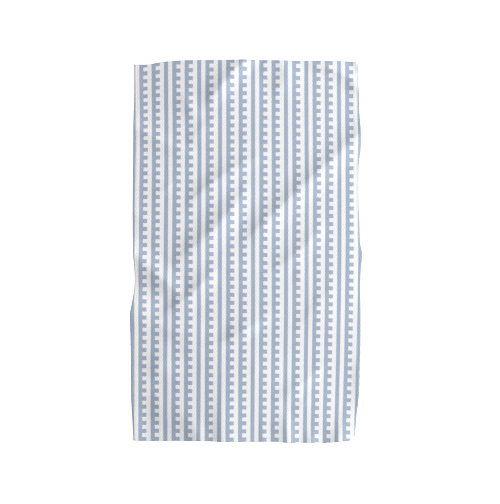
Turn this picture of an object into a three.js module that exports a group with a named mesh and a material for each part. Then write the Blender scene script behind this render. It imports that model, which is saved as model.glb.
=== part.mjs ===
// A tea towel laid out flat, with the soft folds that are left in it.
// Millimetres, +Z up, +X to the towel's right edge, +Y to its upper edge.
// The origin is on the surface that it lies on, under the middle of its outline.

import * as THREE from 'three';

// The hemmed size, 18 by 30 inches
const TOWEL_WIDTH = 457;
const TOWEL_LENGTH = 762;

// The cloth, and the hem turned round all four sides of it
const CLOTH_THICKNESS = 1.5;
const HEM_WIDTH = 8;
const HEM_EXTRA = 0.8;
const HEM_STEP = 2.5;

// The size of the facets between the hems
const CELL = 11;

// How far each edge lies outside the straight hemmed size, from place to place along it
const LEFT_EDGE = [
  { along: -373, out: -3.4 },
  { along: -331, out: -1.0 },
  { along: -295, out: 1.2 },
  { along: -259, out: 1.5 },
  { along: -235, out: 1.8 },
  { along: -217, out: 1.4 },
  { along: -187, out: 2.2 },
  { along: -127, out: 2.9 },
  { along: -103, out: -1.0 },
  { along: -79, out: -4.8 },
  { along: -55, out: -6.7 },
  { along: -31, out: -5.7 },
  { along: 17, out: -2.9 },
  { along: 65, out: -2.3 },
  { along: 140, out: -2.4 },
  { along: 281, out: -3.8 },
  { along: 305, out: -4.9 },
  { along: 376, out: -5.1 },
  { along: 381, out: -3.6 },
];
const RIGHT_EDGE = [
  { along: -367, out: -9.9 },
  { along: -331, out: -6.9 },
  { along: -301, out: -3.4 },
  { along: -259, out: 0.1 },
  { along: -187, out: 1.4 },
  { along: -115, out: 1.5 },
  { along: -79, out: 0.8 },
  { along: -37, out: 2.0 },
  { along: -7, out: 4.6 },
  { along: 17, out: 0.6 },
  { along: 65, out: -0.9 },
  { along: 89, out: -2.4 },
  { along: 170, out: -2.3 },
  { along: 209, out: 2.0 },
  { along: 245, out: 1.3 },
  { along: 281, out: -1.0 },
  { along: 305, out: -1.6 },
  { along: 355, out: -4.2 },
];
const LOWER_EDGE = [
  { along: -219, out: -0.8 },
  { along: -175, out: -0.1 },
  { along: -141, out: -1.1 },
  { along: -83, out: -1.3 },
  { along: -19, out: 0.3 },
  { along: 65, out: 0.3 },
  { along: 89, out: 2.1 },
  { along: 145, out: 2.4 },
  { along: 163, out: 3.6 },
  { along: 197, out: 0.1 },
  { along: 219, out: -1.8 },
];
const UPPER_EDGE = [
  { along: -219, out: -8.3 },
  { along: -199, out: -8.2 },
  { along: -163, out: -2.6 },
  { along: -127, out: -0.3 },
  { along: -67, out: 0.3 },
  { along: -27, out: 0.6 },
  { along: 37, out: 0.3 },
  { along: 101, out: -0.7 },
  { along: 173, out: -0.8 },
  { along: 213, out: -2.3 },
];

// How round each corner is turned
const CORNERS = [
  { side: -1, end: -1, radius: 3 },
  { side: 1, end: -1, radius: 14 },
  { side: -1, end: 1, radius: 2 },
  { side: 1, end: 1, radius: 7 },
];

// Folds. Each crest runs from its start, by way of mid, to its end, and is high at its middle.
// left and right are how far its flanks reach, looking along it. The left one is hollow, and
// drops at once, and the right one is full.
// rise and fall are the shares of its length over which it grows and dies away.
// Each row is start, mid, end, high, left, right, rise, fall.
const CREASES = [
  // Folds that run up to the right
  [[-88, 280], [-43, 334], [11, 396], 8.2, 54, 28, 0.45, 0],
  [[-12, 8], [99, 114], [242, 246], 7.6, 52, 38, 0.25, 0],
  [[-170, -40], [-64, 42], [18, 154], 9, 58, 40, 0.4, 0.45],
  [[-126, 74], [-49, 148], [76, 208], 6.4, 40, 36, 0.4, 0.5],
  [[-194, -142], [-107, -85], [-54, -25], 8.5, 46, 32, 0.4, 0.45],
  [[-180, -208], [-54, -184], [84, -104], 5.5, 46, 26, 0.3, 0.4],
  [[-54, -184], [-8, -164], [44, -136], 4.2, 54, 20, 0.45, 0.5],
  [[20, -58], [102, -5], [164, 70], 5.2, 46, 30, 0.5, 0.4],
  [[46, -300], [111, -266], [172, -214], 5.4, 42, 26, 0.4, 0.5],
  [[94, -164], [145, -107], [190, -44], 3, 36, 80, 0.4, 0.5],
  [[-192, 96], [-160, 124], [-132, 148], 1.8, 30, 16, 0.5, 0.5],
  [[-110, 204], [-92, 240], [-40, 274], 2.4, 30, 44, 0.35, 0.5],
  // Folds that run up to the left
  [[-125, -96], [-177, -46], [-245, 8], 7.4, 76, 32, 0.35, 0],
  [[-188, 32], [-208, 60], [-242, 92], 1.2, 24, 26, 0.4, 0],
  [[-84, 184], [-156, 212], [-240, 258], 2.8, 44, 22, 0.35, 0],
  [[-80, 270], [-114, 286], [-124, 328], 2.6, 36, 22, 0.4, 0.4],
  [[228, 302], [190, 354], [84, 379], 4.2, 30, 34, 0.2, 0.35],
  [[76, -50], [10, -38], [-90, -28], 2, 50, 16, 0.4, 0.4],
  [[-40, -148], [-120, -164], [-204, -144], 4.4, 50, 34, 0.5, 0.4],
  [[-68, -388], [-126, -326], [-168, -256], 3.8, 76, 90, 0.4, 0.45],
  // Ripples that run in from the hems
  [[44, 298], [77, 344], [58, 398], 4.6, 54, 44, 0.4, 0],
  [[28, 340], [39, 364], [36, 394], 1.4, 20, 24, 0.5, 0],
  [[-45, -400], [-47, -330], [-40, -226], 7, 60, 70, 0, 0.8],
  [[-93, -400], [-96, -366], [-108, -322], 5, 56, 30, 0, 0.8],
  [[34, -400], [34, -368], [36, -326], 1.6, 20, 18, 0, 0.7],
  [[84, -400], [81, -352], [68, -296], 5.4, 54, 26, 0, 0.7],
  [[129, -400], [130, -376], [128, -340], 5, 38, 26, 0, 0.8],
  [[182, -400], [190, -356], [208, -306], 6, 42, 48, 0, 0.8],
  // Along the two sides
  [[228, -336], [225, -268], [228, -200], 2.4, 24, 8, 0.3, 0.3],
  [[206, -150], [208, 20], [206, 190], 1.4, 160, 17, 0.2, 0.2],
  [[230, 350], [222, 372], [212, 392], 2.4, 16, 8, 0.3, 0],
  [[-186, -268], [-170, -220], [-166, -176], 4.4, 60, 54, 0.4, 0.5],
  [[-220, -396], [-222, -350], [-226, -296], 2.2, 20, 24, 0, 0.5],
  // Slight ones
  [[-176, -352], [-172, -312], [-182, -268], 2.6, 40, 40, 0.4, 0.4],
  [[98, -74], [108, -46], [106, -20], 1.4, 20, 30, 0.5, 0.5],
  [[8, -262], [19, -238], [17, -210], 1.2, 28, 30, 0.5, 0.5],
  [[92, -318], [115, -304], [124, -284], 1.4, 20, 16, 0.5, 0.5],
];
const CREST_STEPS = 12;
const CREST_ROUNDNESS = 0.12;
const REACH_AT_ENDS = 0.6;
const HOLLOW_FLANK = 2.6;
const FULL_FLANK = 1.5;

// Broad places where the cloth stands a little off the surface
const SWELLS = [
  { x: -230, y: -116, long: 54, wide: 74, turn: 80, high: 10 },
  { x: -14, y: -330, long: 160, wide: 206, turn: 90, high: 10 },
  { x: -190, y: 20, long: 320, wide: 190, turn: 0, high: 5.5 },
  { x: -84, y: -52, long: 110, wide: 50, turn: 0, high: 3 },
  { x: -80, y: 340, long: 160, wide: 110, turn: 0, high: 7 },
  { x: 180, y: -345, long: 140, wide: 100, turn: 0, high: 5 },
];

// A smooth line through a table's rows, read at one place along an edge
function readEdge(rows, along) {
  const last = rows.length - 1;
  const at = THREE.MathUtils.clamp(along, rows[0].along, rows[last].along);
  let row = 0;
  while (row < last - 1 && rows[row + 1].along < at) {
    row += 1;
  }
  const slope = (k) => {
    const before = rows[Math.max(k - 1, 0)];
    const after = rows[Math.min(k + 1, last)];
    return (after.out - before.out) / (after.along - before.along);
  };
  const span = rows[row + 1].along - rows[row].along;
  const t = (at - rows[row].along) / span;
  const blend = t * t * (3 - 2 * t);
  const level = THREE.MathUtils.lerp(rows[row].out, rows[row + 1].out, blend);
  const leaving = slope(row) * span * t * (1 - t) * (1 - t);
  const arriving = slope(row + 1) * span * t * t * (1 - t);
  return level + leaving - arriving;
}

// The crest of a fold, as a curve that passes through its three places
function crestOf(...places) {
  const [start, mid, end] = places.map((place) => new THREE.Vector2(...place));
  const halfway = start.clone().add(end).multiplyScalar(0.5);
  const pull = mid.multiplyScalar(2).sub(halfway);
  return new THREE.QuadraticBezierCurve(start, pull, end).getPoints(CREST_STEPS);
}

const FOLDS = CREASES.map(([start, mid, end, high, left, right, rise, fall]) => {
  return { crest: crestOf(start, mid, end), high, left, right, rise, fall };
});

// The place on a crest that is nearest to a point, and the side of the crest that the point is on
function nearestOnCrest(crest, point) {
  let nearest = { distance: Infinity, share: 0, side: 1 };
  for (let k = 0; k < crest.length - 1; k += 1) {
    const step = crest[k + 1].clone().sub(crest[k]);
    const offset = point.clone().sub(crest[k]);
    const t = THREE.MathUtils.clamp(offset.dot(step) / step.lengthSq(), 0, 1);
    const across = offset.clone().addScaledVector(step, -t);
    if (across.length() < nearest.distance) {
      nearest = {
        distance: across.length(),
        share: (k + t) / (crest.length - 1),
        side: Math.sign(step.cross(offset)),
      };
    }
  }
  return nearest;
}

// A fold is highest on its crest and runs out smoothly down its flanks
function foldHeight(fold, point) {
  const { distance, share, side } = nearestOnCrest(fold.crest, point);
  const grown = fold.rise > 0 ? THREE.MathUtils.smoothstep(share, 0, fold.rise) : 1;
  const dying = fold.fall > 0 ? THREE.MathUtils.smoothstep(1 - share, 0, fold.fall) : 1;
  const strength = grown * dying;
  const reach = side > 0 ? fold.left : fold.right;
  const away = distance / (reach * THREE.MathUtils.lerp(REACH_AT_ENDS, 1, strength));
  if (away >= 1) {
    return 0;
  }
  const rounded = Math.hypot(away, CREST_ROUNDNESS) - CREST_ROUNDNESS;
  const drop = rounded / (Math.hypot(1, CREST_ROUNDNESS) - CREST_ROUNDNESS);
  return fold.high * strength * (1 - drop) ** (side > 0 ? HOLLOW_FLANK : FULL_FLANK);
}

function swellHeight(swell, point) {
  const centre = new THREE.Vector2(swell.x, swell.y);
  const local = point.clone().rotateAround(centre, -THREE.MathUtils.degToRad(swell.turn)).sub(centre);
  const away = (local.x / swell.long) ** 2 + (local.y / swell.wide) ** 2;
  return away < 1 ? swell.high * (1 - away) ** 2 : 0;
}

// How high the cloth's underside is above the surface
function clothHeight(x, y) {
  const point = new THREE.Vector2(x, y);
  let height = 0;
  for (const fold of FOLDS) {
    height += foldHeight(fold, point);
  }
  for (const swell of SWELLS) {
    height += swellHeight(swell, point);
  }
  return height;
}

// The places of the grid's lines from one edge to the other, closer together at the hems
function gridLines(size) {
  const inner = HEM_WIDTH + HEM_STEP;
  const count = Math.round((size - 2 * inner) / CELL);
  const lines = [0, HEM_WIDTH];
  for (let k = 0; k <= count; k += 1) {
    lines.push(inner + (k * (size - 2 * inner)) / count);
  }
  lines.push(size - HEM_WIDTH, size);
  return lines.map((line) => line - size / 2);
}

// Pulls a square corner of the flat cloth in to a round one
function roundCorner(flat) {
  for (const { side, end, radius } of CORNERS) {
    const centre = new THREE.Vector2(side * (TOWEL_WIDTH / 2 - radius), end * (TOWEL_LENGTH / 2 - radius));
    const out = flat.clone().sub(centre).multiply(new THREE.Vector2(side, end));
    if (out.x > 0 && out.y > 0) {
      out.multiplyScalar(Math.max(out.x, out.y) / out.length());
      return centre.add(out.multiply(new THREE.Vector2(side, end)));
    }
  }
  return flat;
}

// Where a place on the straight hemmed size lies once the edges wander
function laidOut(flat) {
  const { x, y } = roundCorner(flat);
  const left = -TOWEL_WIDTH / 2 - readEdge(LEFT_EDGE, y);
  const right = TOWEL_WIDTH / 2 + readEdge(RIGHT_EDGE, y);
  const lower = -TOWEL_LENGTH / 2 - readEdge(LOWER_EDGE, x);
  const upper = TOWEL_LENGTH / 2 + readEdge(UPPER_EDGE, x);
  return new THREE.Vector2(
    THREE.MathUtils.lerp(left, right, x / TOWEL_WIDTH + 0.5),
    THREE.MathUtils.lerp(lower, upper, y / TOWEL_LENGTH + 0.5),
  );
}

function thicknessAt(flat) {
  const fromEdge = Math.min(TOWEL_WIDTH / 2 - Math.abs(flat.x), TOWEL_LENGTH / 2 - Math.abs(flat.y));
  return CLOTH_THICKNESS + (fromEdge < HEM_WIDTH + HEM_STEP / 2 ? HEM_EXTRA : 0);
}

// The cloth as one closed sheet: an upper face, a lower face and a rim
function makeCloth() {
  const across = gridLines(TOWEL_WIDTH);
  const along = gridLines(TOWEL_LENGTH);
  const columns = across.length;
  const rows = along.length;
  const places = [];
  const upper = [];
  const lower = [];
  for (const y of along) {
    for (const x of across) {
      const flat = new THREE.Vector2(x, y);
      const place = laidOut(flat);
      const height = clothHeight(place.x, place.y);
      places.push(place);
      lower.push(place.x, place.y, height);
      upper.push(place.x, place.y, height + thicknessAt(flat));
    }
  }
  const under = (k) => lower[3 * k + 2];
  const triangles = [];
  const addCell = (a, b, c, d) => {
    // The facets meet along the diagonal that lies nearer to the true fold
    const middle = places[a].clone().add(places[c]).multiplyScalar(0.5);
    const height = clothHeight(middle.x, middle.y);
    const alongAC = Math.abs((under(a) + under(c)) / 2 - height);
    const alongBD = Math.abs((under(b) + under(d)) / 2 - height);
    const facets = alongAC <= alongBD ? [[a, b, c], [a, c, d]] : [[a, b, d], [b, c, d]];
    const below = columns * rows;
    for (const [p, q, r] of facets) {
      triangles.push(p, q, r, below + p, below + r, below + q);
    }
  };
  for (let j = 0; j < rows - 1; j += 1) {
    for (let i = 0; i < columns - 1; i += 1) {
      const a = j * columns + i;
      addCell(a, a + 1, a + columns + 1, a + columns);
    }
  }
  const below = columns * rows;
  const addRim = (p, q) => {
    triangles.push(p, below + p, below + q, p, below + q, q);
  };
  const topRow = (rows - 1) * columns;
  for (let i = 0; i < columns - 1; i += 1) {
    addRim(i, i + 1);
    addRim(topRow + i + 1, topRow + i);
  }
  for (let j = 0; j < rows - 1; j += 1) {
    addRim((j + 1) * columns, j * columns);
    addRim(j * columns + columns - 1, (j + 1) * columns + columns - 1);
  }
  const geometry = new THREE.BufferGeometry();
  geometry.setAttribute('position', new THREE.Float32BufferAttribute([...upper, ...lower], 3));
  geometry.setIndex(triangles);
  geometry.computeVertexNormals();
  return geometry;
}

const printedCotton = new THREE.MeshStandardMaterial({ color: 0xc8d1dd, roughness: 0.92, metalness: 0 });

const cloth = new THREE.Mesh(makeCloth(), printedCotton);
cloth.name = 'towel_cloth';

// The outline's middle goes over the origin
cloth.geometry.computeBoundingBox();
const middle = cloth.geometry.boundingBox.getCenter(new THREE.Vector3());
cloth.position.set(-middle.x, -middle.y, 0);

const teaTowel = new THREE.Group();
teaTowel.name = 'tea_towel';
teaTowel.add(cloth);

export default teaTowel;
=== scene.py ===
import math
from collections import namedtuple

import bpy
import numpy as np
from bpy.props import FloatProperty, FloatVectorProperty, IntProperty, PointerProperty
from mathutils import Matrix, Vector


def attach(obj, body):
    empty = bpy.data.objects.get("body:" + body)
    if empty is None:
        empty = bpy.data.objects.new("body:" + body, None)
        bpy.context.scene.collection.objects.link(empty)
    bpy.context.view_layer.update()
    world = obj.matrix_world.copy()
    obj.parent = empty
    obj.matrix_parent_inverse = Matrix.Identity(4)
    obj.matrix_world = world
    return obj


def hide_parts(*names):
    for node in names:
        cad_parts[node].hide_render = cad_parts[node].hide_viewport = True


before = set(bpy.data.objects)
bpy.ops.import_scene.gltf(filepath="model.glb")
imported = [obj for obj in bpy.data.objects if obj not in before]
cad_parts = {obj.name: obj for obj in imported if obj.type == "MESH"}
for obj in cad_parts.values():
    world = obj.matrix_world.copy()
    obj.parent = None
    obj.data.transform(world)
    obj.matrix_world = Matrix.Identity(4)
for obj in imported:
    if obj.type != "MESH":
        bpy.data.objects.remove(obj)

bl_info = {
    "name": "Striped tea towel",
    "version": (1, 0, 0),
    "blender": (4, 5, 0),
    "location": "3D View > Sidebar > Tea towel",
    "description": "A printed tea towel laid out flat, with turned hems, sewing and soft folds",
    "category": "Add Mesh",
}

# The tables and the shape's sums are in millimetres, and Blender's own sizes in metres
MM = 0.001

CLOTH_NODE = "towel_cloth"
PRINT_MAP = "print"
EDGE_DISTANCE = "from_edge"

# Corners of the two sides that are nearer than this at the rim are one
RIM_MERGE = 0.01
SMOOTH_ANGLE = math.radians(60)
CELL_CORNERS = 4

# Mesh lines at a hem. The folded edge's are shares of its rounding, the groove's of its width and
# the ease's of its reach, and the inner side's are in millimetres.
EDGE_LINES = (0, 0.03, 0.12, 0.28, 0.52, 0.88, 1.4)
GROOVE_LINES = (-1, -0.4, 0, 0.4, 1)
INNER_SIDE_LINES = (-0.1, 0.1)
EASE_LINES = (0.12, 0.25, 0.42, 0.62, 0.85)

# How many places along each edge are looked at to find the towel's middle
RIM_PLACES = 400

# The floor is a hair below the cloth, so that the two never share a plane
FLOOR_GAP = 0.05

FLOOR_SIDES = 96

# The camera's sensor, in millimetres as its lens is
SENSOR = 36.0

# The picture's tone curve: levels of light with the levels they are shown at, and the level
# that full light is shown at
TONES = ((0.5, 0.5), (0.7, 0.7), (0.88, 0.85))
BRIGHTEST = 0.93

# The weave: how far apart its yarns are, how many yarns a twill line takes to come round, what
# share of their height the yarns lose between two lines, and how much they change the relief
# and the tone
YARN = 0.5
TWILL = 4
TWILL_STEP = 0.55
YARN_RELIEF = 0.05
YARN_SHADE = 0.06

# The small diamonds that the weave's slanting lines draw on the cloth, and how much they change
# the tone and the ink
DIAMOND_WIDTH = 5.3
DIAMOND_HEIGHT = 9.7
DIAMOND_SHADE = 0.09
DIAMOND_INK = 0.02

# Clouds of unevenness: how wide and how long they are, how far they are turned, how many finer
# clouds they hold and how strong they are
Clouds = namedtuple("Clouds", "across along turn detail strength")
CLOTH_CLOUDS = [
    Clouds(0.8, 16, 0, 2, 0.05),
    Clouds(13, 0.8, 0, 2, 0.04),
    Clouds(1.7, 2.6, math.radians(30), 1, 0.42),
    Clouds(34, 34, 0, 2, 0.04),
]
INK_CLOUDS = Clouds(2, 3, 0, 2, 0.25)
WAVER_CLOUDS = Clouds(1.5, 1.5, 0, 2, 1)
DIAMOND_CLOUDS = Clouds(40, 40, 0, 2, 1.6)
LUMPS = Clouds(2.6, 2.6, 0, 3, 0.03)
THREAD_TWIST = Clouds(0.12, 0.5, math.radians(35), 2, 0.16)
FLOOR_CLOUDS = Clouds(0.7, 0.7, 0, 2, 0.01)

# The lightness of the cloth before its yarns add to it, and how much of the full ink it takes up
CLOTH_LIGHTNESS = 0.965
INK_TAKEN_UP = 0.9

# The thread's relief, as a share of its twist's shade
THREAD_RELIEF = 0.3125

# The folded edge is painted a little darker than the cloth, as painted shade where it rolls round away
# from the light, over this many millimetres
EDGE_PAINTED_SHADE = 0.2
EDGE_PAINTED_SHADE_REACH = 2.4

CLOTH_SHADER = {
    "Roughness": 0.88,
    "Specular IOR Level": 0.25,
    "Sheen Weight": 0.12,
    "Sheen Roughness": 0.5,
}

FLOOR_SHADER = {
    "Roughness": 0.9,
    "Specular IOR Level": 0.1,
}

# A stitch: the sides of its thread, how full it is near its ends, and how far those go in
STITCH_SIDES = 6
STITCH_FULLNESS = 0.5
STITCH_SINK = 2.0

# How far each edge lies outside the straight hemmed size, from place to place along it
Edge = namedtuple("Edge", "along out")
LEFT_EDGE = [
    Edge(-373, -3.4),
    Edge(-331, -1.0),
    Edge(-295, 1.2),
    Edge(-259, 1.5),
    Edge(-235, 1.8),
    Edge(-217, 1.4),
    Edge(-187, 2.2),
    Edge(-127, 2.9),
    Edge(-103, -1.0),
    Edge(-79, -4.8),
    Edge(-55, -6.7),
    Edge(-31, -5.7),
    Edge(17, -2.9),
    Edge(65, -2.3),
    Edge(140, -2.4),
    Edge(281, -3.8),
    Edge(305, -4.9),
    Edge(376, -5.1),
    Edge(381, -3.6),
]
RIGHT_EDGE = [
    Edge(-367, -9.9),
    Edge(-331, -6.9),
    Edge(-301, -3.4),
    Edge(-259, 0.1),
    Edge(-187, 1.4),
    Edge(-115, 1.5),
    Edge(-79, 0.8),
    Edge(-37, 2.0),
    Edge(-7, 4.6),
    Edge(17, 0.6),
    Edge(65, -0.9),
    Edge(89, -2.4),
    Edge(170, -2.3),
    Edge(209, 2.0),
    Edge(245, 1.3),
    Edge(281, -1.0),
    Edge(305, -1.6),
    Edge(355, -4.2),
]
LOWER_EDGE = [
    Edge(-219, -0.8),
    Edge(-175, -0.1),
    Edge(-141, -1.1),
    Edge(-83, -1.3),
    Edge(-19, 0.3),
    Edge(65, 0.3),
    Edge(89, 2.1),
    Edge(145, 2.4),
    Edge(163, 3.6),
    Edge(197, 0.1),
    Edge(219, -1.8),
]
UPPER_EDGE = [
    Edge(-219, -8.3),
    Edge(-199, -8.2),
    Edge(-163, -2.6),
    Edge(-127, -0.3),
    Edge(-67, 0.3),
    Edge(-27, 0.6),
    Edge(37, 0.3),
    Edge(101, -0.7),
    Edge(173, -0.8),
    Edge(213, -2.3),
]

# How round each corner is turned
Corner = namedtuple("Corner", "side end radius")
CORNERS = [
    Corner(-1, -1, 3),
    Corner(1, -1, 14),
    Corner(-1, 1, 2),
    Corner(1, 1, 7),
]

# Folds. Each crest runs from its start, by way of mid, to its end, and is high at its middle.
# left and right are how far its flanks reach, looking along it. The left one is hollow, and
# drops at once, and the right one is full.
# rise and fall are the shares of its length over which it grows and dies away.
Fold = namedtuple("Fold", "start mid end high left right rise fall")
MAIN_FOLDS = [
    # Folds that run up to the right
    Fold((-88, 280), (-43, 334), (11, 396), 8.2, 54, 28, 0.45, 0),
    Fold((-12, 8), (99, 114), (242, 246), 7.6, 52, 38, 0.25, 0),
    Fold((-170, -40), (-64, 42), (18, 154), 9, 58, 40, 0.4, 0.45),
    Fold((-126, 74), (-49, 148), (76, 208), 6.4, 40, 36, 0.4, 0.5),
    Fold((-194, -142), (-107, -85), (-54, -25), 8.5, 46, 32, 0.4, 0.45),
    Fold((-180, -208), (-54, -184), (84, -104), 5.5, 46, 26, 0.3, 0.4),
    Fold((-54, -184), (-8, -164), (44, -136), 4.2, 54, 20, 0.45, 0.5),
    Fold((20, -58), (102, -5), (164, 70), 5.2, 46, 30, 0.5, 0.4),
    Fold((46, -300), (111, -266), (172, -214), 5.4, 42, 26, 0.4, 0.5),
    Fold((94, -164), (145, -107), (190, -44), 3, 36, 80, 0.4, 0.5),
    Fold((-192, 96), (-160, 124), (-132, 148), 1.8, 30, 16, 0.5, 0.5),
    Fold((-110, 204), (-92, 240), (-40, 274), 2.4, 30, 44, 0.35, 0.5),
    # Folds that run up to the left
    Fold((-125, -96), (-177, -46), (-245, 8), 7.4, 76, 32, 0.35, 0),
    Fold((-188, 32), (-208, 60), (-242, 92), 1.2, 24, 26, 0.4, 0),
    Fold((-84, 184), (-156, 212), (-240, 258), 2.8, 44, 22, 0.35, 0),
    Fold((-80, 270), (-114, 286), (-124, 328), 2.6, 36, 22, 0.4, 0.4),
    Fold((228, 302), (190, 354), (84, 379), 4.2, 30, 34, 0.2, 0.35),
    Fold((76, -50), (10, -38), (-90, -28), 2, 50, 16, 0.4, 0.4),
    Fold((-40, -148), (-120, -164), (-204, -144), 4.4, 50, 34, 0.5, 0.4),
    Fold((-68, -388), (-126, -326), (-168, -256), 3.8, 76, 90, 0.4, 0.45),
    # Ripples that run in from the hems
    Fold((44, 298), (77, 344), (58, 398), 4.6, 54, 44, 0.4, 0),
    Fold((28, 340), (39, 364), (36, 394), 1.4, 20, 24, 0.5, 0),
    Fold((-45, -400), (-47, -330), (-40, -226), 7, 60, 70, 0, 0.8),
    Fold((-93, -400), (-96, -366), (-108, -322), 5, 56, 30, 0, 0.8),
    Fold((34, -400), (34, -368), (36, -326), 1.6, 20, 18, 0, 0.7),
    Fold((84, -400), (81, -352), (68, -296), 5.4, 54, 26, 0, 0.7),
    Fold((129, -400), (130, -376), (128, -340), 5, 38, 26, 0, 0.8),
    Fold((182, -400), (190, -356), (208, -306), 6, 42, 48, 0, 0.8),
    # Along the two sides
    Fold((228, -336), (225, -268), (228, -200), 2.4, 24, 8, 0.3, 0.3),
    Fold((206, -150), (208, 20), (206, 190), 1.4, 160, 17, 0.2, 0.2),
    Fold((230, 350), (222, 372), (212, 392), 2.4, 16, 8, 0.3, 0),
    Fold((-186, -268), (-170, -220), (-166, -176), 4.4, 60, 54, 0.4, 0.5),
    Fold((-220, -396), (-222, -350), (-226, -296), 2.2, 20, 24, 0, 0.5),
    # Slight ones
    Fold((-176, -352), (-172, -312), (-182, -268), 2.6, 40, 40, 0.4, 0.4),
    Fold((98, -74), (108, -46), (106, -20), 1.4, 20, 30, 0.5, 0.5),
    Fold((8, -262), (19, -238), (17, -210), 1.2, 28, 30, 0.5, 0.5),
    Fold((92, -318), (115, -304), (124, -284), 1.4, 20, 16, 0.5, 0.5),
]

# Steps along a crest, how rounded its top is, how much of their reach the flanks keep where the
# fold dies away, and the powers that shape the flanks
CREST_STEPS = 12
CREST_ROUNDNESS = 0.12
REACH_AT_ENDS = 0.6
HOLLOW_FLANK = 2.6
FULL_FLANK = 1.5

# Broad places where the cloth stands a little off the surface
Swell = namedtuple("Swell", "x y long wide turn high")
SWELLS = [
    Swell(-230, -116, 54, 74, 80, 10),
    Swell(-14, -330, 160, 206, 90, 10),
    Swell(-190, 20, 320, 190, 0, 5.5),
    Swell(-84, -52, 110, 50, 0, 3),
    Swell(-80, 340, 160, 110, 0, 7),
    Swell(180, -345, 140, 100, 0, 5),
]

# The cloth's slight hills: how far apart they are, their seed and their share of the ripple
Hills = namedtuple("Hills", "pitch seed share")
RIPPLES = [
    Hills(27, 3, 0.7),
    Hills(11, 5, 0.3),
]
HILLS_EACH_WAY = 97

# The print's stripes from left to right. A plain one is a bar and a gap, a toothed one a bar,
# a row of teeth and a gap, and each of these is one unit wide.
STRIPE_ORDER = ("plain", "toothed", "toothed", "plain", "toothed", "toothed", "plain", "toothed")
STRIPE_UNITS = {"plain": 2, "toothed": 3}

# How far the pulled cloth has carried its print, up and to the right, along these upright lines
LEAN_LINES = (-220, -205, -150, 0, 110, 210, 224)
Lean = namedtuple("Lean", "along up right")
PRINT_LEANS = [
    Lean(-346, (1.5, 1.5, 2.4, 2.2, 0.5, -0.5, -0.5), (-2.8, -3.5, -2.2, -1.2, -3.2, -8.2, -8.2)),
    Lean(-230, (2, 2, 1, -0.5, -1.5, -2.5, -2.5), (-2.8, -3.5, -2.5, -0.5, -1.5, -4, -4.4)),
    Lean(-114, (3, 3, 1.6, -0.8, -2.5, -3.5, -3.5), (-2.1, -2.6, -2, 0, 0, -2, -1.3)),
    Lean(0, (2.5, 2.5, 1.5, -0.5, -3, -4.5, -4.5), (-1.2, -1.9, -1.2, 0, 0, -0.5, 0.1)),
    Lean(118, (1.5, 1.5, 1, -0.5, -2.5, -5, -5), (-0.8, -1, -0.5, 0, 0.5, -0.5, -0.7)),
    Lean(234, (-2, -2, -0.5, 0, -2, -5.5, -5.5), (0.5, -0.5, -0.5, 0, 0, -1, -0.9)),
    Lean(350, (-9.5, -9.5, -4.2, -0.8, -2.3, -6.8, -6.8), (-0.9, -1.3, -0.8, 0, -0.5, -1.5, -1.8)),
]


class ClothSizes(bpy.types.PropertyGroup):
    """The towel's hemmed size, its cloth and its hems."""

    width: FloatProperty(
        name="Width", description="Hemmed width of the towel", default=0.457, unit="LENGTH"
    )
    length: FloatProperty(
        name="Length", description="Hemmed length of the towel", default=0.762, unit="LENGTH"
    )
    thickness: FloatProperty(
        name="Cloth", description="Thickness of one layer of the cloth", default=0.0005, unit="LENGTH"
    )
    hem_width: FloatProperty(
        name="Hem width", description="How far in each hem is turned", default=0.008, unit="LENGTH"
    )
    hem_thickness: FloatProperty(
        name="Hem", description="Thickness of the hem, three layers", default=0.0012, unit="LENGTH"
    )
    edge_round: FloatProperty(
        name="Edge", description="How far in the folded edge is rounded", default=0.0025, unit="LENGTH"
    )
    ease: FloatProperty(
        name="Ease", description="How far inside the hem the cloth comes down",
        default=0.014, unit="LENGTH",
    )
    ripple: FloatProperty(
        name="Ripple", description="Height of the cloth's slight unevenness",
        default=0.0004, unit="LENGTH",
    )
    cells_across: IntProperty(
        name="Cells across", description="Mesh cells between the side hems", default=128, min=8
    )
    cells_along: IntProperty(
        name="Cells along", description="Mesh cells between the upper and lower hems",
        default=224, min=8,
    )


class SewingSizes(bpy.types.PropertyGroup):
    """The line of stitches that holds the hems."""

    inset: FloatProperty(
        name="Inset", description="Distance of the stitches from the edge",
        default=0.0062, unit="LENGTH",
    )
    stitch: FloatProperty(
        name="Stitch", description="Length of one stitch on the cloth", default=0.0027, unit="LENGTH"
    )
    gap: FloatProperty(
        name="Gap", description="Gap between two stitches", default=0.0007, unit="LENGTH"
    )
    thread: FloatProperty(
        name="Thread", description="Thickness of the thread", default=0.0004, unit="LENGTH"
    )
    groove: FloatProperty(
        name="Groove", description="How deep the thread pulls into the hem",
        default=0.0003, unit="LENGTH",
    )
    colour: FloatVectorProperty(
        name="Thread colour", description="Colour of the sewing thread",
        default=(0.72, 0.745, 0.78), subtype="COLOR", min=0, max=1,
    )


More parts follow.
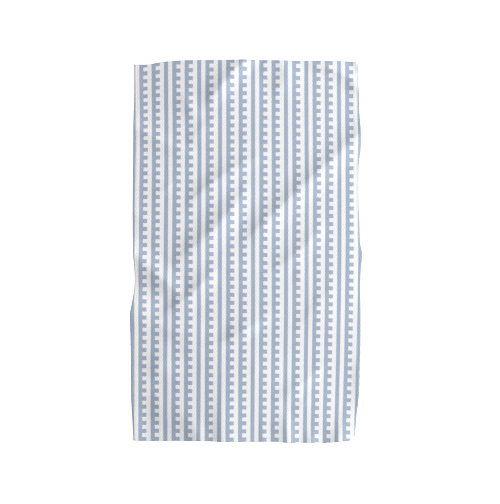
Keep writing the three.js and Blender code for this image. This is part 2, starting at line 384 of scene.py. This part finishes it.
class PrintLook(bpy.types.PropertyGroup):
    """The printed stripes and the cloth's own colour."""

    unit: FloatProperty(
        name="Bar", description="Width of a bar, a tooth or a gap", default=0.008232, unit="LENGTH"
    )
    first_bar: FloatProperty(
        name="First bar", description="Where the first bar's left side is, from the middle",
        default=-0.2284, unit="LENGTH",
    )
    tooth_pitch: FloatProperty(
        name="Tooth pitch", description="Distance from one tooth to the next",
        default=0.016116, unit="LENGTH",
    )
    tooth: FloatProperty(
        name="Tooth", description="Height of one tooth", default=0.0083, unit="LENGTH"
    )
    first_tooth: FloatProperty(
        name="First tooth", description="Where the first tooth's top is, from the middle",
        default=0.36765, unit="LENGTH",
    )
    white: FloatVectorProperty(
        name="Cloth colour", description="Colour of the unprinted cloth",
        default=(0.827, 0.827, 0.832), subtype="COLOR", min=0, max=1,
    )
    ink: FloatVectorProperty(
        name="Ink colour", description="Colour of the printed stripes",
        default=(0.28, 0.353, 0.475), subtype="COLOR", min=0, max=1,
    )
    soft: FloatProperty(
        name="Bleed", description="How far the ink runs at its edges", default=0.0005, unit="LENGTH"
    )
    waver: FloatProperty(
        name="Waver", description="How far the yarns move the print's edges",
        default=0.0009, unit="LENGTH",
    )
    show_through: FloatProperty(
        name="Show-through", description="How much of the print shows on the back",
        default=0.16, subtype="FACTOR", min=0, max=1,
    )


class StageLook(bpy.types.PropertyGroup):
    """The floor, the light and the camera."""

    floor_radius: FloatProperty(
        name="Floor", description="Radius of the floor", default=12.0, unit="LENGTH"
    )
    floor_colour: FloatVectorProperty(
        name="Floor colour", description="Colour of the floor",
        default=(0.96, 0.96, 0.96), subtype="COLOR", min=0, max=1,
    )
    floor_glow: FloatProperty(
        name="Floor glow", description="How much the floor is lit from within", default=1.0, min=0
    )
    sky: FloatProperty(
        name="Fill", description="Strength of the even light from all round", default=0.34, min=0
    )
    key_distance: FloatProperty(
        name="Key distance", description="Distance of the main light", default=3.2, unit="LENGTH"
    )
    key_size: FloatProperty(
        name="Key size", description="Width of the main light", default=1.0, unit="LENGTH"
    )
    key_power: FloatProperty(
        name="Key power", description="Power of the main light", default=137.0, unit="POWER"
    )
    key_turn: FloatProperty(
        name="Key turn", description="Direction of the main light round the towel",
        default=math.radians(8), subtype="ANGLE",
    )
    key_tilt: FloatProperty(
        name="Key tilt", description="Height of the main light above the horizon",
        default=math.radians(34), subtype="ANGLE",
    )
    lens: FloatProperty(
        name="Lens", description="Focal length of the camera", default=85.0, unit="CAMERA"
    )
    view_height: FloatProperty(
        name="View", description="Length of floor that the picture takes in",
        default=1.008, unit="LENGTH",
    )
    view_middle: FloatVectorProperty(
        name="View middle", description="The place under the camera",
        default=(0.00755, -0.00099), size=2, subtype="TRANSLATION", unit="LENGTH",
    )


def read_table(rows, along, level):
    """A level from a table's rows, on a smooth line through them."""
    places = np.array([row.along for row in rows], float)
    levels = np.array([level(row) for row in rows], float)
    before = np.maximum(np.arange(len(rows)) - 1, 0)
    after = np.minimum(np.arange(len(rows)) + 1, len(rows) - 1)
    slopes = (levels[after] - levels[before]) / (places[after] - places[before])
    at = np.clip(along, places[0], places[-1])
    row = np.clip(np.searchsorted(places, at) - 1, 0, len(rows) - 2)
    span = places[row + 1] - places[row]
    t = (at - places[row]) / span
    between = levels[row] + (levels[row + 1] - levels[row]) * smooth(t)
    leaving = slopes[row] * span * t * (1 - t) ** 2
    arriving = slopes[row + 1] * span * t**2 * (1 - t)
    return between + leaving - arriving


def read_edge(rows, along):
    """How far an edge lies out."""
    return read_table(rows, along, lambda row: row.out)


def smooth(t):
    """0 to 1 with no slope at either end."""
    t = np.clip(t, 0, 1)
    return t * t * (3 - 2 * t)


def fold_height(fold, x, y):
    """A fold is highest on its crest and runs out smoothly down its flanks."""
    start, mid, end = (np.array(place, float) for place in (fold.start, fold.mid, fold.end))
    pull = 2 * mid - (start + end) / 2
    t = np.linspace(0, 1, CREST_STEPS + 1)[:, None]
    crest = (1 - t) ** 2 * start + 2 * t * (1 - t) * pull + t**2 * end
    nearest = np.full(x.shape, np.inf)
    share = np.zeros(x.shape)
    side = np.zeros(x.shape)
    for k in range(CREST_STEPS):
        dx, dy = crest[k + 1] - crest[k]
        px, py = x - crest[k, 0], y - crest[k, 1]
        along = np.clip((px * dx + py * dy) / (dx * dx + dy * dy), 0, 1)
        away = np.hypot(px - along * dx, py - along * dy)
        closer = away < nearest
        nearest = np.where(closer, away, nearest)
        share = np.where(closer, (k + along) / CREST_STEPS, share)
        side = np.where(closer, dx * py - dy * px, side)
    grown = smooth(share / fold.rise) if fold.rise else 1
    dying = smooth((1 - share) / fold.fall) if fold.fall else 1
    strength = grown * dying
    reach = np.where(side > 0, fold.left, fold.right) * (REACH_AT_ENDS + (1 - REACH_AT_ENDS) * strength)
    rounded = np.hypot(nearest / reach, CREST_ROUNDNESS) - CREST_ROUNDNESS
    drop = rounded / (math.hypot(1, CREST_ROUNDNESS) - CREST_ROUNDNESS)
    shape = np.where(side > 0, HOLLOW_FLANK, FULL_FLANK)
    return fold.high * strength * np.clip(1 - drop, 0, 1) ** shape


def swell_height(swell, x, y):
    """A swell is a low round dome."""
    turn = math.radians(swell.turn)
    dx, dy = x - swell.x, y - swell.y
    along = (dx * math.cos(turn) + dy * math.sin(turn)) / swell.long
    across = (dy * math.cos(turn) - dx * math.sin(turn)) / swell.wide
    return swell.high * np.clip(1 - along**2 - across**2, 0, 1) ** 2


def hill_height(hills, x, y):
    """Smooth hills from 0 to 1."""
    draws = np.random.default_rng(hills.seed).random((HILLS_EACH_WAY, HILLS_EACH_WAY))
    across = x / hills.pitch + HILLS_EACH_WAY // 2
    along = y / hills.pitch + HILLS_EACH_WAY // 2
    i, j = np.floor(across).astype(int), np.floor(along).astype(int)
    s, t = smooth(across - i), smooth(along - j)
    lower = draws[j, i] * (1 - s) + draws[j, i + 1] * s
    upper = draws[j + 1, i] * (1 - s) + draws[j + 1, i + 1] * s
    return lower * (1 - t) + upper * t


Laid = namedtuple("Laid", "x y face back")


class LaidTowel:
    """Where each place of the flat towel lies. Flat places are measured from its middle."""

    def __init__(self, cloth, sewing):
        self.width = cloth.width / MM
        self.length = cloth.length / MM
        self.thickness = cloth.thickness / MM
        self.hem_width = cloth.hem_width / MM
        self.hem_thickness = cloth.hem_thickness / MM
        self.edge_round = cloth.edge_round / MM
        self.ease = cloth.ease / MM
        self.ripple = cloth.ripple / MM
        self.seam = sewing.inset / MM
        self.groove = sewing.groove / MM
        self.groove_width = 2 * sewing.thread / MM
        rim = np.linspace(-0.5, 0.5, RIM_PLACES)
        side = np.full(rim.shape, 0.5)
        u = np.concatenate([rim, rim, side, -side]) * self.width
        v = np.concatenate([side, -side, rim, rim]) * self.length
        x, y = self.laid_out(u, v)
        self.middle = ((x.min() + x.max()) / 2, (y.min() + y.max()) / 2)
        self.lines_across = self.grid_lines(self.width, cloth.cells_across)
        self.lines_along = self.grid_lines(self.length, cloth.cells_along)

    def from_edge(self, u, v):
        """How far a flat place is from the nearest hemmed edge."""
        return np.minimum(self.width / 2 - np.abs(u), self.length / 2 - np.abs(v))

    def laid_out(self, u, v):
        """A flat place moved to where it lies, with the corners turned and the edges wandering."""
        u, v = u.copy(), v.copy()
        for corner in CORNERS:
            middle = np.array((self.width / 2 - corner.radius, self.length / 2 - corner.radius))
            out_u, out_v = u * corner.side - middle[0], v * corner.end - middle[1]
            inside = (out_u > 0) & (out_v > 0)
            drawn_in = np.maximum(out_u, out_v) / np.maximum(np.hypot(out_u, out_v), 1e-9)
            u = np.where(inside, corner.side * (middle[0] + out_u * drawn_in), u)
            v = np.where(inside, corner.end * (middle[1] + out_v * drawn_in), v)
        left = -self.width / 2 - read_edge(LEFT_EDGE, v)
        right = self.width / 2 + read_edge(RIGHT_EDGE, v)
        lower = -self.length / 2 - read_edge(LOWER_EDGE, u)
        upper = self.length / 2 + read_edge(UPPER_EDGE, u)
        x = left + (right - left) * (u / self.width + 0.5)
        y = lower + (upper - lower) * (v / self.length + 0.5)
        return x, y

    def lift(self, x, y):
        """How high the cloth stands off the surface."""
        height = sum(fold_height(fold, x, y) for fold in MAIN_FOLDS)
        height += sum(swell_height(swell, x, y) for swell in SWELLS)
        ripple = sum(hills.share * hill_height(hills, x, y) for hills in RIPPLES)
        return height + self.ripple * ripple

    def face_and_back(self, u, v):
        """Where flat places lie, and the heights of the printed face and of the back there."""
        x, y = self.laid_out(u, v)
        lift = self.lift(x, y)
        inset = self.from_edge(u, v)
        groove = self.groove * np.clip(1 - np.abs(inset - self.seam) / self.groove_width, 0, 1) ** 2
        down = smooth((inset - self.hem_width) / self.ease)
        extra = (self.hem_thickness - self.thickness) * (1 - down)
        face = lift + self.thickness + extra
        back = np.where(inset < self.hem_width, lift, face - self.thickness)
        turned = np.clip(1 - inset / self.edge_round, 0, 1)
        closing = (1 - np.sqrt(1 - turned**2)) * self.hem_thickness / 2
        face = face - closing - groove
        back = back + closing + np.where(inset < self.hem_width, groove, 0)
        return Laid(x - self.middle[0], y - self.middle[1], face, back)

    def printed(self, u, v, look):
        """Where a flat place lies in the print, from the first bar and the first tooth."""
        x, y = self.laid_out(u, v)
        right, up = np.zeros(x.shape), np.zeros(x.shape)
        for k, alone in enumerate(np.eye(len(LEAN_LINES))):
            near = np.interp(x, LEAN_LINES, alone)
            right += near * read_table(PRINT_LEANS, y, lambda row: row.right[k])
            up += near * read_table(PRINT_LEANS, y, lambda row: row.up[k])
        return x - right - look.first_bar / MM, y - up - look.first_tooth / MM

    def grid_lines(self, size, cells):
        """The mesh lines from one edge to the other, close together at the hems."""
        edge = np.array(EDGE_LINES) * self.edge_round
        groove = self.seam + np.array(GROOVE_LINES) * self.groove_width
        inner_side = self.hem_width + np.array(INNER_SIDE_LINES)
        easing = self.hem_width + np.array(EASE_LINES) * self.ease
        near = np.concatenate([edge, groove, inner_side, easing])
        middle = np.linspace(near[-1], size - near[-1], cells + 1)
        return np.concatenate([near[:-1], middle, size - near[-2::-1]]) - size / 2


class Wire:
    """One output of a shader node, which can be used in sums."""

    def __init__(self, paint, socket):
        self.paint = paint
        self.socket = socket

    def maths(self, operation, *others, clamp=False):
        return self.paint.maths(operation, self, *others, clamp=clamp)

    def __add__(self, other):
        return self.maths("ADD", other)

    def __sub__(self, other):
        return self.maths("SUBTRACT", other)

    def __rsub__(self, other):
        return self.paint.maths("SUBTRACT", other, self)

    def __mul__(self, other):
        return self.maths("MULTIPLY", other)

    def __truediv__(self, other):
        return self.maths("DIVIDE", other)

    def __mod__(self, other):
        return self.maths("FLOORED_MODULO", other)

    def __abs__(self):
        return self.maths("ABSOLUTE")

    __radd__ = __add__
    __rmul__ = __mul__

    def greater(self, other):
        return self.maths("MAXIMUM", other)

    def held(self):
        """Kept between 0 and 1."""
        return self.maths("ADD", 0.0, clamp=True)

    def wave(self):
        return self.maths("SINE")


class Paint:
    """The shader nodes of one material."""

    def __init__(self, name):
        self.material = bpy.data.materials.new(name)
        self.material.use_nodes = True
        self.tree = self.material.node_tree
        self.tree.nodes.clear()

    def node(self, kind, settings=None, sockets=None, output=0):
        """A new node of a kind, with its settings and then its sockets' values or links."""
        made = self.tree.nodes.new(kind)
        for name, value in (settings or {}).items():
            setattr(made, name, value)
        for name, value in (sockets or {}).items():
            if isinstance(value, Wire):
                self.tree.links.new(value.socket, made.inputs[name])
            else:
                made.inputs[name].default_value = value
        return Wire(self, made.outputs[output]) if made.outputs else None

    def maths(self, operation, *values, clamp=False):
        settings = {"operation": operation, "use_clamp": clamp}
        return self.node("ShaderNodeMath", settings, dict(enumerate(values)))

    def mix(self, low, high, factor):
        """A colour between two colours."""
        sockets = {0: factor, 6: low, 7: high}
        return self.node("ShaderNodeMix", {"data_type": "RGBA"}, sockets, output=2)

    def shaded(self, colour, factor):
        """A colour made lighter or darker."""
        return self.node("ShaderNodeVectorMath", {"operation": "SCALE"}, {0: colour, "Scale": factor})

    def clouds(self, place, clouds):
        """An unevenness around 0."""
        size = (clouds.across, clouds.along, 1)
        mapping = {"Vector": place, "Rotation": (0, 0, clouds.turn), "Scale": size}
        turned = self.node("ShaderNodeMapping", {"vector_type": "TEXTURE"}, mapping)
        sockets = {"Vector": turned, "Scale": 1.0, "Detail": clouds.detail}
        cloudy = self.node("ShaderNodeTexNoise", {"noise_dimensions": "2D"}, sockets)
        return (cloudy - 0.5) * clouds.strength

    def finish(self, colour, height, constants):
        """A shader with a colour and a relief in millimetres. The rest is the same all over."""
        bump = self.node("ShaderNodeBump", None, {"Height": height, "Distance": MM, "Strength": 1.0})
        sockets = {"Base Color": colour, "Normal": bump, **constants}
        shader = self.node("ShaderNodeBsdfPrincipled", None, sockets)
        self.node("ShaderNodeOutputMaterial", None, {"Surface": shader})
        return self.material


def opaque(colour):
    return (*colour, 1.0)


def band(place, low, high, soft):
    """1 between two places and 0 outside them, with edges that run over a soft distance."""
    middle, half = (low + high) / 2, (high - low) / 2
    return (half / soft + 0.5 - abs(place - middle) / soft).held()


class PrintedPlace:
    """A place in the print, in millimetres, as the cloth's UV map has it."""

    def __init__(self, paint):
        print_map = paint.node("ShaderNodeUVMap", {"uv_map": PRINT_MAP})
        scaled = {"operation": "SCALE"}
        self.both = paint.node("ShaderNodeVectorMath", scaled, {0: print_map, "Scale": 1 / MM})
        self.across = paint.node("ShaderNodeSeparateXYZ", None, {0: self.both}, output=0)
        self.along = paint.node("ShaderNodeSeparateXYZ", None, {0: self.both}, output=1)


def ink_on_cloth(paint, place, look):
    """Where the ink is: bars all along, and teeth beside the toothed ones."""
    unit, soft = look.unit / MM, look.soft / MM
    pitch = look.tooth_pitch / MM
    gap = pitch - look.tooth / MM
    repeat = unit * sum(STRIPE_UNITS[stripe] for stripe in STRIPE_ORDER)
    waver = paint.clouds(place.both, WAVER_CLOUDS) * (look.waver / MM)
    across = (place.across + waver + unit / 2) % repeat - unit / 2
    bars, teeth = 0.0, 0.0
    left = 0
    for stripe in STRIPE_ORDER:
        bars = band(across, left, left + unit, soft).greater(bars)
        if stripe == "toothed":
            teeth = band(across, left + unit, left + 2 * unit, soft).greater(teeth)
        left += unit * STRIPE_UNITS[stripe]
    rows = band((place.along + waver - gap / 2) % pitch, gap / 2, pitch - gap / 2, soft)
    # A tooth joins its bar, so that no pale line is left where their soft edges meet
    return (bars + teeth * rows).held()


def weave(place):
    """The relief of a twill, from 0 to 1: upright yarns that pass over and under in steps."""
    yarns = abs((place.across * (math.pi / YARN)).wave())
    steps = ((place.across + place.along) * (2 * math.pi / (TWILL * YARN))).wave() * 0.5 + 0.5
    return yarns * (steps * TWILL_STEP + (1 - TWILL_STEP))


def diamonds(paint, place):
    """Two sets of slanting lines that cross, around 0. Now one set shows more, and now the other."""
    across, along = place.across / DIAMOND_WIDTH, place.along / DIAMOND_HEIGHT
    share = paint.clouds(place.both, DIAMOND_CLOUDS) + 0.5
    falling = ((across + along) * math.tau).wave()
    rising = ((across - along) * math.tau).wave()
    return falling * share + rising * (1 - share)


def cloth_tone(paint, place, relief, slants):
    """How light the cloth is from place to place: yarns, slubs, flecks and a slight mottle."""
    uneven = sum(paint.clouds(place.both, clouds) for clouds in CLOTH_CLOUDS)
    return CLOTH_LIGHTNESS + relief * YARN_SHADE + slants * DIAMOND_SHADE + uneven


def painted_edge_shade_mask(paint):
    """Where the painted shade at the folded edge falls: 1 at the edge, and 0 a little way in."""
    settings = {"attribute_name": EDGE_DISTANCE}
    from_edge = paint.node("ShaderNodeAttribute", settings, output=2)
    return (1 - from_edge / (EDGE_PAINTED_SHADE_REACH * MM)).held()


def paint_cloth(name, look, shown):
    """The printed cloth. shown is how strongly the ink shows on this side of it."""
    paint = Paint(name)
    place = PrintedPlace(paint)
    relief = weave(place)
    slants = diamonds(paint, place)
    taken_up = paint.clouds(place.both, INK_CLOUDS) + INK_TAKEN_UP - slants * DIAMOND_INK
    ink = (ink_on_cloth(paint, place, look) * taken_up * shown).held()
    colour = paint.mix(opaque(look.white), opaque(look.ink), ink)
    # The folded edge is darkened with painted shade, standing in for the light it loses as it rolls
    # round
    tone = cloth_tone(paint, place, relief, slants) * (1 - painted_edge_shade_mask(paint) * EDGE_PAINTED_SHADE)
    colour = paint.shaded(colour, tone)
    height = relief * YARN_RELIEF + paint.clouds(place.both, LUMPS)
    return paint.finish(colour, height, CLOTH_SHADER)


def paint_thread(name, sewing):
    """The sewing thread, with the slant of its twist."""
    paint = Paint(name)
    metres = paint.node("ShaderNodeTexCoord", output=3)
    place = paint.node("ShaderNodeVectorMath", {"operation": "SCALE"}, {0: metres, "Scale": 1 / MM})
    twist = paint.clouds(place, THREAD_TWIST)
    colour = paint.shaded(tuple(sewing.colour), twist + 1)
    return paint.finish(colour, twist * THREAD_RELIEF, CLOTH_SHADER)


def paint_floor(name, stage):
    """A plain pale floor, very slightly uneven in tone."""
    paint = Paint(name)
    metres = paint.node("ShaderNodeTexCoord", output=3)
    colour = paint.shaded(tuple(stage.floor_colour), paint.clouds(metres, FLOOR_CLOUDS) + 1)
    glow = {"Emission Color": (1, 1, 1, 1), "Emission Strength": stage.floor_glow}
    return paint.finish(colour, 0.0, {**FLOOR_SHADER, **glow})


def select_only(*objects):
    """Deselects everything else, and makes the first of these the active one."""
    bpy.ops.object.select_all(action="DESELECT")
    for item in objects:
        item.select_set(True)
    bpy.context.view_layer.objects.active = objects[0]


def add_grid(name, across, along):
    """A flat square grid with this many cells each way, one metre wide."""
    bpy.ops.object.select_all(action="DESELECT")
    bpy.ops.mesh.primitive_grid_add(x_subdivisions=across, y_subdivisions=along, size=1)
    grid = bpy.context.object
    grid.name = name
    grid.data.name = name
    grid.data.uv_layers[0].name = PRINT_MAP
    return grid


def turn_over(piece):
    """Makes a piece's faces look the other way."""
    select_only(piece)
    bpy.ops.object.mode_set(mode="EDIT")
    bpy.ops.mesh.select_all(action="SELECT")
    bpy.ops.mesh.flip_normals()
    bpy.ops.object.mode_set(mode="OBJECT")


def close_rim(piece):
    """Joins the two sides of the cloth where they meet at its edge, and shades it smoothly."""
    select_only(piece)
    bpy.ops.object.mode_set(mode="EDIT")
    bpy.ops.mesh.select_all(action="SELECT")
    bpy.ops.mesh.remove_doubles(threshold=RIM_MERGE * MM)
    bpy.ops.object.mode_set(mode="OBJECT")
    bpy.ops.object.shade_smooth_by_angle(angle=SMOOTH_ANGLE)


def lay_grid(grid, towel, look, is_face):
    """Lays one side of the cloth, and gives each corner of each cell its place in the print."""
    mesh = grid.data
    cells_across, cells_along = len(towel.lines_across) - 1, len(towel.lines_along) - 1
    places = np.empty(3 * len(mesh.vertices))
    mesh.vertices.foreach_get("co", places)
    places = places.reshape(-1, 3)
    u = towel.lines_across[np.rint((places[:, 0] + 0.5) * cells_across).astype(int)]
    v = towel.lines_along[np.rint((places[:, 1] + 0.5) * cells_along).astype(int)]
    laid = towel.face_and_back(u, v)
    corners = np.column_stack([laid.x, laid.y, laid.face if is_face else laid.back]) * MM
    mesh.vertices.foreach_set("co", corners.ravel())
    inset = towel.from_edge(u, v)
    from_edge = mesh.attributes.new(EDGE_DISTANCE, "FLOAT", "POINT")
    from_edge.data.foreach_set("value", inset * MM)

    vertex = np.empty(len(mesh.loops), np.int32)
    mesh.loops.foreach_get("vertex_index", vertex)
    cell_inset = inset[vertex].reshape(-1, CELL_CORNERS).mean(1)
    in_hem = cell_inset < towel.hem_width
    straight = np.column_stack(towel.printed(u, v, look))
    if is_face:
        print_places = straight[vertex]
        slots = np.zeros(len(mesh.polygons), np.int32)
    else:
        # The hem is the same cloth turned round the edge, so the print runs on backwards there
        beside = towel.width / 2 - np.abs(u) < towel.length / 2 - np.abs(v)
        edge_u = np.where(beside, np.sign(u) * towel.width / 2, u)
        edge_v = np.where(beside, v, np.sign(v) * towel.length / 2)
        turned = 2 * np.column_stack(towel.printed(edge_u, edge_v, look)) - straight
        corner_in_hem = np.repeat(in_hem, CELL_CORNERS)[:, None]
        print_places = np.where(corner_in_hem, turned[vertex], straight[vertex])
        slots = np.where(in_hem, 0, 1).astype(np.int32)
    mesh.uv_layers[PRINT_MAP].data.foreach_set("uv", (print_places * MM).ravel())
    mesh.polygons.foreach_set("material_index", slots)
    mesh.update()


class TOWEL_OT_cloth(bpy.types.Operator):
    """Makes the towel's cloth, with its turned hems, its folds and its print"""

    bl_idname = "towel.cloth"
    bl_label = "Cloth"
    bl_options = {"REGISTER", "UNDO"}

    def execute(self, context):
        scene = context.scene
        towel = LaidTowel(scene.towel_cloth, scene.towel_sewing)
        look = scene.towel_print
        cells = len(towel.lines_across) - 1, len(towel.lines_along) - 1
        face = add_grid("printed_towel", *cells)
        back = add_grid("towel_back", *cells)
        turn_over(back)
        printed = paint_cloth("printed side", look, 1.0)
        reverse = paint_cloth("reverse", look, look.show_through)
        for side in (face, back):
            side.data.materials.append(printed)
            side.data.materials.append(reverse)
            lay_grid(side, towel, look, side is face)
        select_only(face, back)
        bpy.ops.object.join()
        close_rim(face)
        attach(face, "root")
        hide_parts(CLOTH_NODE)
        return {"FINISHED"}


def model_stitch():
    """One stitch along X, a short rounded length of thread, as its corners and faces."""
    bpy.ops.object.select_all(action="DESELECT")
    bpy.ops.mesh.primitive_uv_sphere_add(segments=STITCH_SIDES, ring_count=STITCH_SIDES, radius=0.5)
    stitch = bpy.context.object
    bpy.ops.object.mode_set(mode="EDIT")
    bpy.ops.transform.rotate(orient_axis="Y", value=math.pi / 2, center_override=(0, 0, 0))
    bpy.ops.object.mode_set(mode="OBJECT")
    corners = np.array([vertex.co for vertex in stitch.data.vertices])
    faces = [tuple(face.vertices) for face in stitch.data.polygons]
    bpy.data.objects.remove(stitch)
    # The middle of a stitch is fuller than a ball's, and its ends go down into the cloth
    ball = np.sqrt(np.clip(1 - (2 * corners[:, :1]) ** 2, 0, 1))
    corners[:, 1:] /= np.sqrt(np.maximum(ball, STITCH_FULLNESS))
    corners[:, 2] -= STITCH_SINK * corners[:, 0] ** 2
    return corners, faces


def place_stitch(corners, start, end, side, thread):
    """A stitch's corners from one place to another. side is 1 on the face and -1 on the back."""
    along = end - start
    across = np.cross((0, 0, 1), along)
    across /= np.linalg.norm(across)
    up = np.cross(along, across)
    up /= np.linalg.norm(up)
    level = corners[:, :1] * along + corners[:, 1:2] * across * thread
    return (start + end) / 2 + level + side * corners[:, 2:] * up * thread


def stitch_places(towel, sewing):
    """The flat places where each stitch of the line round the towel starts and ends."""
    half_width, half_length = towel.width / 2 - towel.seam, towel.length / 2 - towel.seam
    corners = [(-1, -1), (1, -1), (1, 1), (-1, 1), (-1, -1)]
    step, stitch = (sewing.stitch + sewing.gap) / MM, sewing.stitch / MM
    starts, ends = [], []
    for (a, b), (c, d) in zip(corners, corners[1:]):
        start = np.array((a * half_width, b * half_length))
        end = np.array((c * half_width, d * half_length))
        side = np.linalg.norm(end - start)
        count = round(side / step)
        for k in range(count):
            starts.append(start + (end - start) * (k / count))
            ends.append(starts[-1] + (end - start) * (stitch / side))
    return np.array(starts), np.array(ends)


class TOWEL_OT_sewing(bpy.types.Operator):
    """Sews the hems with a line of stitches, which shows on both sides of the cloth"""

    bl_idname = "towel.sewing"
    bl_label = "Sewing"
    bl_options = {"REGISTER", "UNDO"}

    def execute(self, context):
        scene = context.scene
        cloth, sewing = scene.towel_cloth, scene.towel_sewing
        towel = LaidTowel(cloth, sewing)
        corners, faces = model_stitch()
        laid_ends = [towel.face_and_back(*places.T) for places in stitch_places(towel, sewing)]
        all_corners, all_faces = [], []
        for side, height in ((1, "face"), (-1, "back")):
            ends = (np.column_stack([laid.x, laid.y, getattr(laid, height)]) for laid in laid_ends)
            for start, end in zip(*ends):
                base = len(all_corners) * len(corners)
                all_corners.append(place_stitch(corners, start, end, side, sewing.thread / MM))
                all_faces += [tuple(base + k for k in face[::side]) for face in faces]
        mesh = bpy.data.meshes.new("hem_stitches")
        mesh.from_pydata(np.concatenate(all_corners) * MM, [], all_faces)
        stitches = bpy.data.objects.new("hem_stitches", mesh)
        scene.collection.objects.link(stitches)
        mesh.materials.append(paint_thread("sewing thread", sewing))
        select_only(stitches)
        bpy.ops.object.shade_smooth()
        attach(stitches, "root")
        return {"FINISHED"}


class TOWEL_OT_stage(bpy.types.Operator):
    """Makes the floor, the light and the camera"""

    bl_idname = "towel.stage"
    bl_label = "Stage"
    bl_options = {"REGISTER", "UNDO"}

    def execute(self, context):
        stage = context.scene.towel_stage
        self.lay_floor(stage)
        self.hang_light(stage)
        self.set_fill(context.scene, stage)
        self.soften_whites(context.scene)
        self.place_camera(context.scene, stage)
        return {"FINISHED"}

    def lay_floor(self, stage):
        bpy.ops.object.select_all(action="DESELECT")
        below = (0, 0, -FLOOR_GAP * MM)
        bpy.ops.mesh.primitive_circle_add(
            vertices=FLOOR_SIDES, radius=stage.floor_radius, fill_type="NGON", location=below
        )
        floor = bpy.context.object
        floor.name = "floor"
        floor.data.materials.append(paint_floor("pale floor", stage))

    def hang_light(self, stage):
        away = Vector((
            math.cos(stage.key_turn) * math.cos(stage.key_tilt),
            math.sin(stage.key_turn) * math.cos(stage.key_tilt),
            math.sin(stage.key_tilt),
        ))
        facing = (-away).to_track_quat("-Z", "Y").to_euler()
        place = away * stage.key_distance
        bpy.ops.object.select_all(action="DESELECT")
        bpy.ops.object.light_add(type="AREA", location=place, rotation=facing)
        light = bpy.context.object
        light.name = "key_light"
        light.data.shape = "DISK"
        light.data.size = stage.key_size
        light.data.energy = stage.key_power

    def set_fill(self, scene, stage):
        if scene.world is None:
            scene.world = bpy.data.worlds.new("soft white room")
        scene.world.use_nodes = True
        background = scene.world.node_tree.nodes["Background"]
        background.inputs["Color"].default_value = (1, 1, 1, 1)
        background.inputs["Strength"].default_value = stage.sky
        scene.view_settings.view_transform = "Standard"

    def soften_whites(self, scene):
        """Bends the picture's tones over near white, as a camera does."""
        scene.view_settings.use_curve_mapping = True
        curves = scene.view_settings.curve_mapping
        tones = curves.curves[3]
        for light, shown in TONES:
            tones.points.new(light, shown)
        tones.points[-1].location = (1, BRIGHTEST)
        curves.update()

    def place_camera(self, scene, stage):
        distance = stage.view_height * stage.lens / SENSOR
        bpy.ops.object.select_all(action="DESELECT")
        bpy.ops.object.camera_add(location=(*stage.view_middle, distance), rotation=(0, 0, 0))
        camera = bpy.context.object
        camera.name = "camera"
        camera.data.sensor_width = SENSOR
        camera.data.lens = stage.lens
        scene.camera = camera


class VIEW3D_PT_tea_towel(bpy.types.Panel):
    """Lists the towel's pieces and their sizes"""

    bl_label = "Tea towel"
    bl_space_type = "VIEW_3D"
    bl_region_type = "UI"
    bl_category = "Tea towel"

    def draw(self, context):
        parts = (
            ("towel.cloth", ("towel_cloth", "towel_print")),
            ("towel.sewing", ("towel_sewing",)),
            ("towel.stage", ("towel_stage",)),
        )
        for operator, groups in parts:
            box = self.layout.box()
            box.operator(operator)
            for group in groups:
                settings = getattr(context.scene, group)
                for name in settings.__annotations__:
                    box.prop(settings, name)


GROUPS = {
    "towel_cloth": ClothSizes,
    "towel_sewing": SewingSizes,
    "towel_print": PrintLook,
    "towel_stage": StageLook,
}
CLASSES = (*GROUPS.values(), TOWEL_OT_cloth, TOWEL_OT_sewing, TOWEL_OT_stage, VIEW3D_PT_tea_towel)


def register():
    for made in CLASSES:
        bpy.utils.register_class(made)
    for name, group in GROUPS.items():
        setattr(bpy.types.Scene, name, PointerProperty(type=group))


def unregister():
    for name in GROUPS:
        delattr(bpy.types.Scene, name)
    for made in reversed(CLASSES):
        bpy.utils.unregister_class(made)


def main():
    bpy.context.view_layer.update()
    register()
    bpy.ops.towel.cloth()
    bpy.ops.towel.sewing()
    bpy.ops.towel.stage()


if __name__ == "__main__":
    main()
